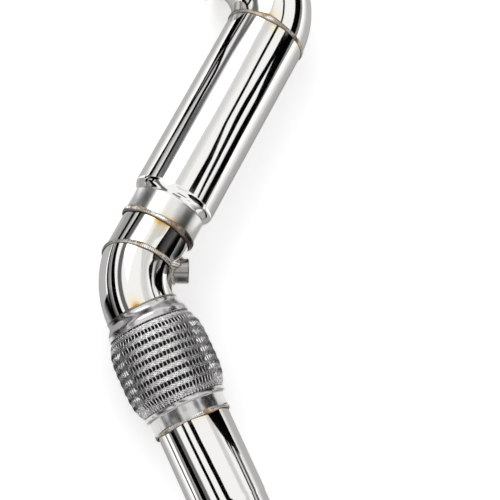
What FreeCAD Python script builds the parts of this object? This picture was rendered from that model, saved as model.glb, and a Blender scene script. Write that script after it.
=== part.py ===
# Turbo downpipe, millimetres. One welded run of stainless tube: inlet flange and elbow, catalyst
# canister, mitred stub and elbow with a sensor boss, braided flex joint, outlet pipe.
# The run lies in one plane. It is laid on z = 0 on its flange rim, its braid and its outlet end.
import FreeCAD, Part
import math
import os
import re
import Sketcher
from FreeCAD import Placement, Rotation, Vector

NODES = "parts"
os.makedirs(NODES, exist_ok=True)
doc = FreeCAD.newDocument("Downpipe")

# Driving sizes: name, value, what it measures. Lengths in millimetres, angles in degrees.
SIZES = [
    ("pipe_od", 76.2, "outer diameter of stub, elbow and outlet pipe"),
    ("pipe_wall", 1.6, "wall of stub, elbow and outlet pipe"),
    ("slip_gap", 0.1, "radial gap where one tube slides into another"),
    ("canister_step", 12.7, "how much wider than the pipe canister and inlet elbow are"),
    ("canister_wall", 1.6, "wall of canister and inlet elbow"),
    ("canister_length", 216, "parallel length of the canister"),
    ("shoulder_length", 12, "length of the spun shoulder"),
    ("shoulder_radius", 14, "outer radius of the spun shoulder"),
    ("neck_length", 25, "length of the neck below the shoulder"),
    ("neck_wall", 1.5, "wall of the neck"),
    ("canister_heading", 30, "plan angle of the canister's axis from the long axis"),
    ("flange_step", 20.1, "how much wider than the canister the inlet flange is"),
    ("flange_rim", 2.5, "thickness of the flange at its rim"),
    ("flange_slope", 4, "length of the flange's sloping back"),
    ("flange_length", 15, "length of the flange with its hub"),
    ("flange_hub_wall", 3.6, "wall of the flange's hub"),
    ("register_depth", 1.2, "depth of the seat turned in the flange's face"),
    ("register_width", 3, "width of that seat"),
    ("inlet_bend_radius", 66, "centre-line radius of the inlet elbow"),
    ("inlet_bend_angle", 90, "turn of the inlet elbow"),
    ("matrix_start", 45, "from the inlet elbow to the catalyst matrix"),
    ("matrix_length", 100, "length of the catalyst matrix"),
    ("mantle_wall", 1.2, "wall of the matrix's mantle"),
    ("cell_pitch", 7.4, "pitch of the matrix's channels"),
    ("cell_wall", 1.2, "wall between two channels"),
    ("socket_depth", 12, "how far a pipe goes into its socket"),
    ("stub_length", 43, "axis length of the stub outside the neck"),
    ("joint_turn", 12.7, "turn at the mitred joint"),
    ("joint_lean", 12, "lean of the joint's plane out of the plane of the run"),
    ("bend_radius", 76.2, "centre-line radius of the elbow"),
    ("bend_angle", 39.4, "turn of the elbow"),
    ("trim_length", 14, "tube cut away at the mitre, measured on the axis"),
    ("bung_od", 26, "outer diameter of the sensor boss"),
    ("bung_bore", 18, "thread diameter of the sensor boss"),
    ("bung_length", 15.5, "height of the sensor boss outside the elbow"),
    ("bung_chamfer", 1, "chamfer at the boss's free end"),
    ("bung_station", 6, "angle along the elbow to the sensor boss"),
    ("bung_lean", 8, "lean of the boss back along the elbow"),
    ("bung_rise", 6, "angle of the boss above the plane of the run"),
    ("bead_width", 4.5, "width of a weld bead"),
    ("bead_crown", 1.3, "height of a weld bead"),
    ("bead_rise", 0.3, "how far a bead beside a bend is set out, to clear the bend's inside"),
    ("joint_bead", 2.2, "section radius of the mitred joint's bead"),
    ("bung_bead", 3.6, "section radius of the boss's fillet"),
    ("collar_step", 10.8, "how much wider than the pipe the flex joint's collars are"),
    ("collar_wall", 1.5, "wall of the collars"),
    ("collar_nose", 5, "parallel nose of the upper collar"),
    ("collar_flare", 9.5, "length of the upper collar's flare"),
    ("upper_collar_length", 18.6, "length of the upper collar"),
    ("lip_length", 4.5, "length of the lower collar's lip"),
    ("lower_collar_length", 20.2, "length of the lower collar"),
    ("braid_length", 85, "length of braid that shows"),
    ("braid_tuck", 3, "braid held under each lip"),
    ("braid_bulge", 7, "how far the braid swells beyond the collars"),
    ("braid_fullness", 4, "exponent of the braid's swell: higher stays wide nearer its ends"),
    ("braid_wall", 1.1, "thickness of the braid between its bands"),
    ("band_width", 3.6, "width of one wire band of the braid"),
    ("band_height", 1.5, "how far a wire band stands proud"),
    ("braid_bands", 9, "number of wire bands"),
    ("braid_gaps", 14, "gaps round the braid in one row"),
    ("gap_height", 3.8, "length of a gap along the braid"),
    ("gap_share", 0.62, "part of the girth that is gap"),
    ("bellows_wall", 0.6, "wall of the bellows"),
    ("bellows_inset", 0.8, "how far the bellows' roots lie inside the pipe's outer radius"),
    ("bellows_height", 3.3, "height of the bellows' waves"),
    ("bellows_waves", 8, "number of bellows convolutions"),
    ("cuff_length", 5, "length of the cuffs of bellows and liner"),
    ("liner_wall", 0.8, "wall of the interlocked liner"),
    ("liner_step", 0.7, "step between the liner's rings"),
    ("liner_rings", 6, "number of rings in the liner"),
    ("outlet_length", 150, "outlet pipe outside its socket"),
    ("slip_length", 60, "sized end of the outlet pipe, for the next tube's sleeve"),
    ("slip_step", 0.6, "how far that end is sized down, on the radius"),
]
sheet = doc.addObject("Spreadsheet::Sheet", "Sizes")
for row, (alias, value, meaning) in enumerate(SIZES, start=1):
    sheet.set(f"A{row}", alias)
    sheet.set(f"B{row}", str(value))
    sheet.set(f"C{row}", meaning)
    sheet.setAlias(f"B{row}", alias)
doc.recompute()
size = {alias: float(sheet.get(alias)) for alias, _, _ in SIZES}

# Radii that several pieces share, written as expressions on the sheet's names.
PIPE = "pipe_od / 2"
BORE = "pipe_od / 2 - pipe_wall"
SOCKET = "pipe_od / 2 + slip_gap"
NECK = SOCKET + " + neck_wall"
SLEEVE = SOCKET + " + collar_wall"
SLIP_END = "pipe_od / 2 - slip_step"
CANISTER = "(pipe_od + canister_step) / 2"
CANISTER_BORE = CANISTER + " - canister_wall"
MANTLE = CANISTER_BORE + " - slip_gap"
HUB = CANISTER_BORE + " + flange_hub_wall"
RIM = CANISTER + " + flange_step / 2"
LIP = "(pipe_od + collar_step) / 2"
LIP_BORE = LIP + " - collar_wall"
BELLOWS_ROOT = "pipe_od / 2 - bellows_inset"


def bound(text):
    """An expression in which each size's name points at its cell."""
    return re.sub(r"[a-z_]+", lambda word: f"Sizes.{word[0]}" if word[0] in size else word[0], text)


def number(text):
    """The value of such an expression now."""
    return float(sheet.evalExpression(bound(text)))


def bind(item, **values):
    """Bind properties of a document object to expressions."""
    for name, text in values.items():
        item.setExpression(name, bound(text))


def place(item, placement):
    """Put a top-level object where it belongs and remember it for the last shift."""
    item.Placement = placement
    placed.append(item)
    return item


placed = []
nodes = []


def node(item, name):
    """Name a finished piece."""
    item.Label = name
    nodes.append(item)
    return item


# The run of the pipe: each station is a placement whose Z axis points down the run and whose
# X axis points to the inside of the next bend.
def along(station, length):
    """The station that lies length further along a straight run."""
    return station * Placement(Vector(0, 0, length), Rotation())


def spun(station, angle):
    """The same station with its X axis turned about the run."""
    return station * Placement(Vector(), Rotation(Vector(0, 0, 1), angle))


def bend_centre(station, radius):
    """Where a bend's axis crosses the plane of the run, X towards the tube, Y along that axis."""
    return station * Placement(Vector(radius, 0, 0), Rotation(Vector(0, 1, 0), 180))


def around(station, radius, angle):
    """The station after a bend towards X."""
    turn = Rotation(Vector(0, 1, 0), angle)
    reach = Vector(radius, 0, 0)
    return station * Placement(reach - turn.multVec(reach), turn)


inlet_face = Placement(Vector(), Rotation(Vector(0, 1, 0), Vector(0, 0, 1), Vector(1, 0, 0), "ZXY"))
inlet_bend = along(inlet_face, size["flange_length"])
canister_top = spun(around(inlet_bend, size["inlet_bend_radius"], size["inlet_bend_angle"]), 180)
shell_length = size["canister_length"] + size["shoulder_length"] + size["neck_length"]
neck_end = along(canister_top, shell_length)
joint = along(neck_end, size["stub_length"])
half_turn = Placement(Vector(), Rotation(Vector(0, 1, 0), size["joint_turn"] / 2))
lean = Placement(Vector(), Rotation(Vector(1, 0, 0), -size["joint_lean"]))
joint_plane = joint * half_turn * lean
bend_start = joint * half_turn * half_turn
flex_start = around(bend_start, size["bend_radius"], size["bend_angle"])
braid_start = along(flex_start, size["upper_collar_length"])
braid_end = along(braid_start, size["braid_length"])
flex_end = along(braid_end, size["lower_collar_length"])
outlet_end = along(flex_end, size["outlet_length"])


def lowest(station, radius, up):
    """The lowest point of a circle round the run."""
    axis = station.Rotation.multVec(Vector(0, 0, 1))
    across = up - axis * up.dot(axis)
    return station.Base - across.normalize() * radius


def laid_down(supports):
    """The turn that lays the run on three circles, with the canister at its heading."""
    up = inlet_face.Rotation.multVec(Vector(0, -1, 0))
    for _ in range(12):
        first, second, third = [lowest(station, radius, up) for station, radius in supports]
        normal = (second - first).cross(third - first).normalize()
        up = normal if normal.dot(up) > 0 else -normal
    level = Rotation(up, Vector(0, 0, 1))
    axis = level.multVec(canister_top.Rotation.multVec(Vector(0, 0, 1)))
    heading = math.degrees(math.atan2(-axis.x, -axis.y))
    yaw = Rotation(Vector(0, 0, 1), heading - size["canister_heading"])
    return Placement(Vector(), yaw * level)


braid_middle = along(braid_start, size["braid_length"] / 2)
braid_radius = number(LIP) + size["braid_bulge"]
rest = laid_down([
    (inlet_face, number(RIM)),
    (braid_middle, braid_radius),
    (outlet_end, number(SLIP_END)),
])


# Bodies turned on the Z axis from an outline in the XZ plane.
def origin_plane(body, role):
    """A body's own origin plane."""
    return next(item for item in body.Origin.OriginFeatures if item.Role == role)


def turned(name, station, corners, arcs=None):
    """A turned piece. Each corner is (radius, distance); arcs maps an edge to its radius and side."""
    arcs = arcs or {}
    body = doc.addObject("PartDesign::Body", name)
    sketch = body.newObject("Sketcher::SketchObject", name + "_outline")
    sketch.AttachmentSupport = (origin_plane(body, "XZ_Plane"), [""])
    sketch.MapMode = "FlatFace"
    points = [Vector(number(across), number(down), 0) for across, down in corners]
    count = len(points)
    edges = []
    for edge, start in enumerate(points):
        end = points[(edge + 1) % count]
        if edge in arcs:
            text, side = arcs[edge]
            middle = arc_middle(start, end, number(text), side)
            edges.append(sketch.addGeometry(Part.Arc(start, middle, end)))
        else:
            edges.append(sketch.addGeometry(Part.LineSegment(start, end)))
    heads = [end_nearest(sketch, edges[i], points[i]) for i in range(count)]
    tails = [end_nearest(sketch, edges[i], points[(i + 1) % count]) for i in range(count)]
    for i in range(count):
        after = (i + 1) % count
        ends = (edges[i], tails[i], edges[after], heads[after])
        sketch.addConstraint(Sketcher.Constraint("Coincident", *ends))
    for i, (across, down) in enumerate(corners):
        pin(sketch, "DistanceX", -2, edges[i], heads[i], across)
        pin(sketch, "DistanceY", -1, edges[i], heads[i], down)
    for edge, (text, _) in arcs.items():
        index = sketch.addConstraint(Sketcher.Constraint("Radius", edges[edge], number(text)))
        sketch.setExpression(f"Constraints[{index}]", bound(text))
    turn = body.newObject("PartDesign::Revolution", name + "_turned")
    turn.Profile = sketch
    turn.ReferenceAxis = (sketch, ["V_Axis"])
    turn.Angle = 360
    return place(body, station)


def arc_middle(start, end, radius, side):
    """The middle of the arc that joins two points and bulges to the given side."""
    chord = end - start
    half = chord.Length / 2
    rise = radius - math.sqrt(max(radius * radius - half * half, 0))
    normal = Vector(chord.y, -chord.x, 0).normalize()
    return (start + end) / 2 + normal * rise * side


def end_nearest(sketch, edge, point):
    """Which end of a sketch edge, 1 or 2, lies at a point."""
    return min((1, 2), key=lambda which: sketch.getPoint(edge, which).distanceToPoint(point))


def pin(sketch, kind, axis, edge, end, text):
    """Fix one coordinate of an edge's end to an expression."""
    if text == "0":
        sketch.addConstraint(Sketcher.Constraint("PointOnObject", edge, end, axis))
        return
    index = sketch.addConstraint(Sketcher.Constraint(kind, -1, 1, edge, end, number(text)))
    sketch.setExpression(f"Constraints[{index}]", bound(text))


def bent(name, station, radius, angle, outer, inner):
    """A bent tube: a ring round the bend's axis, turned by the bend's angle."""
    body = doc.addObject("PartDesign::Body", name)
    sketch = body.newObject("Sketcher::SketchObject", name + "_section")
    sketch.AttachmentSupport = (origin_plane(body, "XY_Plane"), [""])
    sketch.MapMode = "FlatFace"
    centre = Vector(number(radius), 0, 0)
    for text in (outer, inner):
        circle = sketch.addGeometry(Part.Circle(centre, Vector(0, 0, 1), number(text)))
        sketch.addConstraint(Sketcher.Constraint("PointOnObject", circle, 3, -1))
        reach = sketch.addConstraint(Sketcher.Constraint("DistanceX", -1, 1, circle, 3, centre.x))
        sketch.setExpression(f"Constraints[{reach}]", bound(radius))
        round_size = sketch.addConstraint(Sketcher.Constraint("Radius", circle, number(text)))
        sketch.setExpression(f"Constraints[{round_size}]", bound(text))
    turn = body.newObject("PartDesign::Revolution", name + "_bend")
    turn.Profile = sketch
    turn.ReferenceAxis = (sketch, ["V_Axis"])
    turn.Angle = number(angle)
    turn.setExpression("Angle", bound(angle))
    return place(body, bend_centre(station, number(radius)))


def cut(name, base, *tools):
    """Boolean cuts that take the tools away from the base, one after another."""
    result = base
    for tool in tools:
        step = doc.addObject("Part::Cut", name + "_cut")
        step.Base = result
        step.Tool = tool
        result = step
    return result


def solid(kind, name, station, **values):
    """A Part primitive with bound sizes."""
    item = doc.addObject(kind, name)
    bind(item, **values)
    return place(item, station)


CROWN_RADIUS = "(bead_width ^ 2 / 4 + bead_crown ^ 2) / (2 * bead_crown)"


def butt_bead(name, station, radius):
    """A low domed bead over two tube ends of one diameter."""
    corners = [(radius, "0"), (radius, "bead_width")]
    start = along(station, -size["bead_width"] / 2)
    return turned(name, start, corners, {1: (CROWN_RADIUS, -1)})


def lap_bead(name, station, big, small):
    """A fillet bead from the end of the bigger tube down to the smaller one."""
    corners = [(big, "0"), (big, "bead_width / 4"), (small, "bead_width / 4"), (small, "bead_width"),
               (big + " + bead_crown / 2", "0")]
    start = along(station, -size["bead_width"] / 4)
    return turned(name, start, corners, {3: ("bead_width", -1)})


# Inlet: a turned clamp flange, butt-welded to a tight elbow of the canister's diameter.
flange_corners = [
    (CANISTER_BORE, "0"),
    (CANISTER_BORE, "flange_length"),
    (HUB, "flange_length"),
    (HUB, "flange_rim + flange_slope"),
    (RIM, "flange_rim"),
    (RIM, "0"),
    (HUB + " + register_width", "0"),
    (HUB + " + register_width", "register_depth"),
    (HUB, "register_depth"),
    (HUB, "0"),
]
node(turned("inlet_flange", inlet_face, flange_corners), "inlet_flange")
inlet_elbow = bent("inlet_elbow", inlet_bend, "inlet_bend_radius", "inlet_bend_angle",
                   CANISTER, CANISTER_BORE)
node(inlet_elbow, "inlet_elbow")
node(lap_bead("inlet_flange_weld", inlet_bend, HUB + " + bead_rise", CANISTER + " + bead_rise"),
     "inlet_flange_weld")
node(butt_bead("inlet_elbow_weld", canister_top, CANISTER + " + bead_rise"), "inlet_elbow_weld")

# Canister: one spun tube with a rounded shoulder and a neck, round a brazed metal matrix.
SHOULDER_END = "canister_length + shoulder_length"
shell_corners = [
    (CANISTER, "0"),
    (CANISTER, "canister_length"),
    (NECK, SHOULDER_END),
    (NECK, SHOULDER_END + " + neck_length"),
    (SOCKET, SHOULDER_END + " + neck_length"),
    (SOCKET, SHOULDER_END),
    (CANISTER_BORE, "canister_length"),
    (CANISTER_BORE, "0"),
]
shell_arcs = {1: ("shoulder_radius", 1), 5: ("shoulder_radius - canister_wall", -1)}
node(turned("canister_shell", canister_top, shell_corners, shell_arcs), "canister_shell")
matrix_top = along(canister_top, size["matrix_start"])
MATRIX = MANTLE + " - mantle_wall"
mantle_corners = [(MATRIX, "0"), (MATRIX, "matrix_length"), (MANTLE, "matrix_length"), (MANTLE, "0")]
node(turned("catalyst_mantle", matrix_top, mantle_corners), "catalyst_mantle")


def matrix_shape():
    """A round block with square channels wherever a whole one fits."""
    radius = number(MATRIX)
    pitch = size["cell_pitch"]
    half = (pitch - size["cell_wall"]) / 2
    rim = radius - size["cell_wall"]
    steps = int(radius / pitch) + 1
    wires = [Part.Wire(Part.makeCircle(radius))]
    for column in range(-steps, steps + 1):
        for line in range(-steps, steps + 1):
            x = column * pitch
            y = line * pitch
            if math.hypot(abs(x) + half, abs(y) + half) < rim:
                turns = ((-1, -1), (1, -1), (1, 1), (-1, 1), (-1, -1))
                square = [Vector(x + i * half, y + j * half, 0) for i, j in turns]
                wires.append(Part.makePolygon(square))
    return Part.Face(wires, "Part::FaceMakerBullseye").extrude(Vector(0, 0, size["matrix_length"]))


matrix = doc.addObject("Part::Feature", "catalyst_core")
matrix.Shape = matrix_shape()
node(place(matrix, matrix_top), "catalyst_core")

# Stub and elbow: both are trimmed on the leaning plane of their welded joint.
node(lap_bead("neck_weld", neck_end, NECK, PIPE), "neck_weld")
stub_top = along(neck_end, -size["socket_depth"])
STUB_CUT = "socket_depth + stub_length + trim_length"
stub_outer = solid("Part::Cylinder", "stub_outer", stub_top, Radius=PIPE, Height=STUB_CUT)
stub_bore = solid("Part::Cylinder", "stub_bore", stub_top, Radius=BORE, Height=STUB_CUT)
trim_angle = math.degrees(size["trim_length"] / size["bend_radius"])
TRIM_ANGLE = "trim_length / bend_radius * 180 / pi"
axis_up = Placement(Vector(), Rotation(Vector(1, 0, 0), -90))
bend_middle = bend_centre(bend_start, size["bend_radius"])
back_turn = Placement(Vector(), Rotation(Vector(0, 1, 0), -trim_angle))
ring_start = bend_middle * back_turn * axis_up
RING_SWEEP = "bend_angle + " + TRIM_ANGLE
elbow_outer = solid("Part::Torus", "elbow_outer", ring_start, Radius1="bend_radius", Radius2=PIPE,
                    Angle3=RING_SWEEP)
elbow_bore = solid("Part::Torus", "elbow_bore", ring_start, Radius1="bend_radius", Radius2=BORE,
                   Angle3=RING_SWEEP)
corner = Placement(Vector(-size["pipe_od"], -size["pipe_od"], 0), Rotation())
beyond = solid("Part::Box", "beyond_joint", joint_plane * corner,
               Length="2 * pipe_od", Width="2 * pipe_od", Height="pipe_od")
before = solid("Part::Box", "before_joint", along(joint_plane, -size["pipe_od"]) * corner,
               Length="2 * pipe_od", Width="2 * pipe_od", Height="pipe_od")
stub_block = cut("stub_block", stub_outer, beyond)
elbow_block = cut("elbow_block", elbow_outer, before)

# Sensor boss: a threaded collar on a saddle at the inside of the bend, with a fillet all round.
boss_centre = around(bend_start, size["bend_radius"], size["bung_station"])
toward = Placement(Vector(), Rotation(Vector(0, 1, 0), 90 + size["bung_lean"]))
raised = Placement(Vector(), Rotation(Vector(0, 0, 1), size["bung_rise"]))
boss_axis = boss_centre * raised * toward
BOSS_END = PIPE + " + bung_length"
BOSS = "bung_od / 2"
THREAD = "bung_bore / 2"
boss_corners = [
    (THREAD, PIPE + " - bung_length"),
    (THREAD, BOSS_END + " - bung_chamfer"),
    (THREAD + " + bung_chamfer", BOSS_END),
    (BOSS + " - bung_chamfer", BOSS_END),
    (BOSS, BOSS_END + " - bung_chamfer"),
    (BOSS, PIPE + " - bung_length"),
]
boss_blank = turned("boss_blank", boss_axis, boss_corners)
boss_plug = solid("Part::Cylinder", "boss_plug", boss_axis, Radius=BOSS, Height=BOSS_END)
sensor_hole = solid("Part::Cylinder", "sensor_hole", boss_axis, Radius=THREAD, Height=BOSS_END)
fillet_ring = solid("Part::Torus", "fillet_ring", along(boss_axis, number(PIPE)), Radius1=BOSS,
                    Radius2="bung_bead")
joint_ring = solid("Part::Torus", "joint_ring", joint_plane, Radius1=PIPE + " + bead_crown / 3",
                   Radius2="joint_bead")
node(cut("bend_stub", stub_block, stub_bore, sensor_hole), "bend_stub")
node(cut("bend_elbow", elbow_block, elbow_bore, sensor_hole), "bend_elbow")
joint_bead = doc.addObject("Part::Fuse", "joint_bead_halves")
joint_bead.Base = cut("near_bead", joint_ring, beyond, stub_outer)
joint_bead.Tool = cut("far_bead", joint_ring, before, elbow_outer)
node(cut("mitre_weld", joint_bead, boss_plug, fillet_ring), "mitre_weld")
node(cut("sensor_bung", boss_blank, stub_block, elbow_block), "sensor_bung")
node(cut("sensor_bung_weld", fillet_ring, stub_block, elbow_block, boss_plug), "sensor_bung_weld")

# Flex joint: spun collars, knitted wire braid, bellows and an interlocked liner.
node(butt_bead("flex_upper_weld", flex_start, PIPE + " + bead_rise"), "flex_upper_weld")
FLARE_END = "collar_nose + collar_flare"
upper_corners = [
    (PIPE, "0"),
    (PIPE, "collar_nose"),
    (LIP, FLARE_END),
    (LIP, "upper_collar_length"),
    (LIP_BORE, "upper_collar_length"),
    (LIP_BORE, FLARE_END),
    (BORE, "collar_nose"),
    (BORE, "0"),
]
node(turned("flex_upper_collar", flex_start, upper_corners), "flex_upper_collar")
lower_corners = [
    (LIP, "0"),
    (LIP, "lip_length"),
    (SLEEVE, "lip_length"),
    (SLEEVE, "lower_collar_length"),
    (SOCKET, "lower_collar_length"),
    (SOCKET, "lip_length - collar_wall"),
    (LIP_BORE, "lip_length - collar_wall"),
    (LIP_BORE, "0"),
]
node(turned("flex_lower_collar", braid_end, lower_corners), "flex_lower_collar")


def braid_shape():
    """A swelling sleeve: wire bands round it, and rows of gaps between the bands."""
    bands = int(size["braid_bands"])
    length = size["braid_length"]
    tuck_radius = number(LIP_BORE) - size["slip_gap"]
    wall = size["braid_wall"]
    half_band = size["band_width"] / 2
    pitch = length / bands
    centres = [(band + 0.5) * pitch for band in range(bands)]
    crown = number(LIP) + size["braid_bulge"]
    swell = crown - size["band_height"] - tuck_radius

    def floor(z):
        return tuck_radius + swell * (1 - abs(2 * z / length - 1) ** size["braid_fullness"])

    outer = [Vector(tuck_radius, 0, -size["braid_tuck"]), Vector(tuck_radius, 0, 0)]
    edges = [Part.LineSegment(outer[0], outer[1])]
    inner = [Vector(tuck_radius - wall, 0, -size["braid_tuck"]), Vector(tuck_radius - wall, 0, 0)]
    last = outer[1]
    for z in centres:
        base = floor(z)
        start = Vector(base, 0, z - half_band)
        end = Vector(base, 0, z + half_band)
        top = Vector(base + size["band_height"], 0, z)
        edges.append(Part.LineSegment(last, start))
        edges.append(Part.Arc(start, top, end))
        inner.append(Vector(base - wall, 0, z))
        last = end
    foot = Vector(tuck_radius, 0, length)
    tail = Vector(tuck_radius, 0, length + size["braid_tuck"])
    inner += [foot - Vector(wall, 0, 0), tail - Vector(wall, 0, 0)]
    edges += [Part.LineSegment(last, foot), Part.LineSegment(foot, tail)]
    back = [tail] + inner[::-1] + [outer[0]]
    edges += [Part.LineSegment(one, two) for one, two in zip(back, back[1:])]
    sleeve = Part.Face(Part.Wire([edge.toShape() for edge in edges]))
    sleeve = sleeve.revolve(Vector(), Vector(0, 0, 1), 360)
    gaps = int(size["braid_gaps"])
    step = 360 / gaps
    gap_width = 2 * math.pi * tuck_radius * size["gap_share"] / gaps
    cutters = []
    for row, (one, two) in enumerate(zip(centres, centres[1:])):
        z = (one + two) / 2
        block = Part.makeBox(crown, gap_width, size["gap_height"],
                             Vector(tuck_radius / 2, -gap_width / 2, z - size["gap_height"] / 2))
        for index in range(gaps):
            turned_block = block.copy()
            turned_block.rotate(Vector(), Vector(0, 0, 1), (index + row % 2 / 2) * step)
            cutters.append(turned_block)
    return sleeve.cut(Part.makeCompound(cutters))


braid = doc.addObject("Part::Feature", "flex_braid")
braid.Shape = braid_shape()
node(place(braid, braid_start), "flex_braid")


def bellows_shape():
    """Waves of thin sheet between a cuff in the upper collar and one in the lower collar."""
    wall = size["bellows_wall"]
    root = number(BELLOWS_ROOT)
    crest = root + size["bellows_height"]
    waves = int(size["bellows_waves"])
    cuff = size["cuff_length"]
    first = size["upper_collar_length"]
    last = first + size["braid_length"]
    lower_seat = last + size["lip_length"] - size["collar_wall"]
    pitch = (last - first) / waves
    middle = [(number(BORE), size["collar_nose"] - cuff + wall), (number(BORE), size["collar_nose"])]
    for wave in range(waves):
        middle.append((root, first + wave * pitch))
        middle.append((crest, first + (wave + 0.5) * pitch))
    middle += [(root, last), (number(PIPE), lower_seat), (number(PIPE), lower_seat + cuff)]
    outer = [Vector(radius, 0, z) for radius, z in middle]
    inner = [Vector(radius - wall, 0, z) for radius, z in middle]
    outline = outer + inner[::-1] + outer[:1]
    return Part.Face(Part.makePolygon(outline)).revolve(Vector(), Vector(0, 0, 1), 360)


bellows = doc.addObject("Part::Feature", "flex_bellows")
bellows.Shape = bellows_shape()
node(place(bellows, flex_start), "flex_bellows")


def liner_shape():
    """Stepped rings of strip, held in the bellows' two cuffs."""
    wall = size["liner_wall"]
    step = size["liner_step"]
    rings = int(size["liner_rings"])
    outer_radius = number(BORE) - size["bellows_wall"]
    flare_radius = number(PIPE) - size["bellows_wall"]
    first = size["collar_nose"]
    cuff = size["cuff_length"] - size["bellows_wall"]
    last = size["upper_collar_length"] + size["braid_length"]
    lower_seat = last + size["lip_length"] - size["collar_wall"]
    pitch = (last - first) / rings
    outline = [(outer_radius, first - cuff), (outer_radius, first)]
    for ring in range(rings):
        z = first + ring * pitch
        outline += [(outer_radius - step, z + step), (outer_radius - step, z + pitch / 2)]
        outline += [(outer_radius, z + pitch / 2 + step), (outer_radius, z + pitch)]
    outline += [(flare_radius, lower_seat), (flare_radius, lower_seat + cuff)]
    outer = [Vector(radius, 0, z) for radius, z in outline]
    inner = [Vector(radius - wall, 0, z) for radius, z in outline]
    loop = Part.makePolygon(outer + inner[::-1] + outer[:1])
    return Part.Face(loop).revolve(Vector(), Vector(0, 0, 1), 360)


liner = doc.addObject("Part::Feature", "flex_liner")
liner.Shape = liner_shape()
node(place(liner, flex_start), "flex_liner")

# Outlet: a plain pipe in the lower collar's socket.
node(lap_bead("flex_lower_weld", flex_end, SLEEVE, PIPE), "flex_lower_weld")
PIPE_END = "socket_depth + outlet_length"
SLIP_START = PIPE_END + " - slip_length"
outlet_corners = [
    (BORE, "0"),
    (BORE, PIPE_END),
    (SLIP_END, PIPE_END),
    (SLIP_END, SLIP_START),
    (PIPE, SLIP_START),
    (PIPE, "0"),
]
outlet_top = along(flex_end, -size["socket_depth"])
node(turned("outlet_pipe", outlet_top, outlet_corners), "outlet_pipe")

# Lay the run down: level it, then put the middle of its box over the origin, its lowest point at 0.
for item in placed:
    item.Placement = rest * item.Placement
doc.recompute()
box = FreeCAD.BoundBox()
for item in nodes:
    box.add(item.Shape.optimalBoundingBox(False))
shift = Placement(-Vector(box.Center.x, box.Center.y, box.ZMin), Rotation())
for item in placed:
    item.Placement = shift * item.Placement
doc.recompute()

# Check every object before anything is written.
for item in doc.Objects:
    if "Invalid" in item.State or "Error" in item.State:
        raise RuntimeError(f"{item.Label} failed: {item.State}")
for item in nodes:
    if item.Shape.isNull() or not item.Shape.isValid():
        raise RuntimeError(f"{item.Label} has no valid shape")
    item.Shape.exportStep(os.path.join(NODES, item.Label + ".step"))
    print(f"{item.Label:20s} solids {len(item.Shape.Solids)} volume {item.Shape.Volume / 1000:9.2f} cm3")
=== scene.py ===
import bpy
import math
import mathutils
import numpy as np
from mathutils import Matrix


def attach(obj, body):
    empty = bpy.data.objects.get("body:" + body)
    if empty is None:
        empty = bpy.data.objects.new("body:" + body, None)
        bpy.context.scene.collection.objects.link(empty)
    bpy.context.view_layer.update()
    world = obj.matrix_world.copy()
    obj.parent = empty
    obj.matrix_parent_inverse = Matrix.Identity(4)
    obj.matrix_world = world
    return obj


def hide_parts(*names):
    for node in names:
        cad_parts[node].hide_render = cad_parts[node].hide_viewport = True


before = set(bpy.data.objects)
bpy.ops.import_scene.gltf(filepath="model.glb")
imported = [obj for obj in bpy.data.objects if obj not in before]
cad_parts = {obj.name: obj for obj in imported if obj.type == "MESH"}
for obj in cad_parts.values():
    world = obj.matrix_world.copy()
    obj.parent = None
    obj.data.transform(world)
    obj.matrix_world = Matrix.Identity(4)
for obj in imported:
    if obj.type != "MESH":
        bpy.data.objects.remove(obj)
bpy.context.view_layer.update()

# Inlet flange: a ring turned from stainless bar, with a sloping back for a clamp and a shallow
# seat in its face. It is butt-welded to the inlet elbow. Its turned faces keep fine tool marks.
MM = 0.001
TURNS = 192
INLET_FACE = ((31.379, 312.8585, 55.1201), (0.860647, -0.499799, -0.097406),
              (-0.499833, -0.865737, 0.025812))
FLANGE_RADIUS = 54.5
FLANGE_RIM = 2.5
FLANGE_SLOPE = 4
FLANGE_LENGTH = 15
HUB_RADIUS = 46.45
SEAT_RADIUS = 49.45
SEAT_DEPTH = 1.2
CANISTER_BORE = 42.85


def station(origin, down, inside):
    """A place on the run: a 4 by 4 frame with Z down the run and X towards a bend's inside."""
    down = np.array(down) / np.linalg.norm(down)
    inside = np.array(inside) - down * np.dot(inside, down)
    inside = inside / np.linalg.norm(inside)
    place = np.eye(4)
    place[:3, 0] = inside
    place[:3, 1] = np.cross(down, inside)
    place[:3, 2] = down
    place[:3, 3] = origin
    return place


def along(place, length):
    """Frames at one length or many down a straight run: the origin moves along Z."""
    length = np.asarray(length, float)
    moved = np.broadcast_to(place, length.shape + (4, 4)).copy()
    moved[..., :3, 3] += length[..., None] * place[:3, 2]
    return moved


def rings(frames, radii, turns=TURNS):
    """Points on circles, one circle to a frame: origin + radius (cos u X + sin u Y)."""
    u = np.linspace(0, 2 * np.pi, turns, endpoint=False)
    radii = np.broadcast_to(np.asarray(radii, float), frames.shape[:1])
    reach = (np.cos(u)[None, :, None] * frames[:, None, :3, 0]
             + np.sin(u)[None, :, None] * frames[:, None, :3, 1])
    return frames[:, None, :3, 3] + radii[:, None, None] * reach


def quads(rows, columns, closed_rows, closed_columns, flip=False):
    """Corner numbers of the grid's four-sided faces, row by row."""
    i = np.arange(rows if closed_rows else rows - 1)
    j = np.arange(columns if closed_columns else columns - 1)
    i, j = np.meshgrid(i, j, indexing="ij")
    i2 = (i + 1) % rows
    j2 = (j + 1) % columns
    corners = [i * columns + j, i2 * columns + j, i2 * columns + j2, i * columns + j2]
    faces = np.stack(corners, -1).reshape(-1, 4)
    return faces[:, ::-1] if flip else faces


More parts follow.
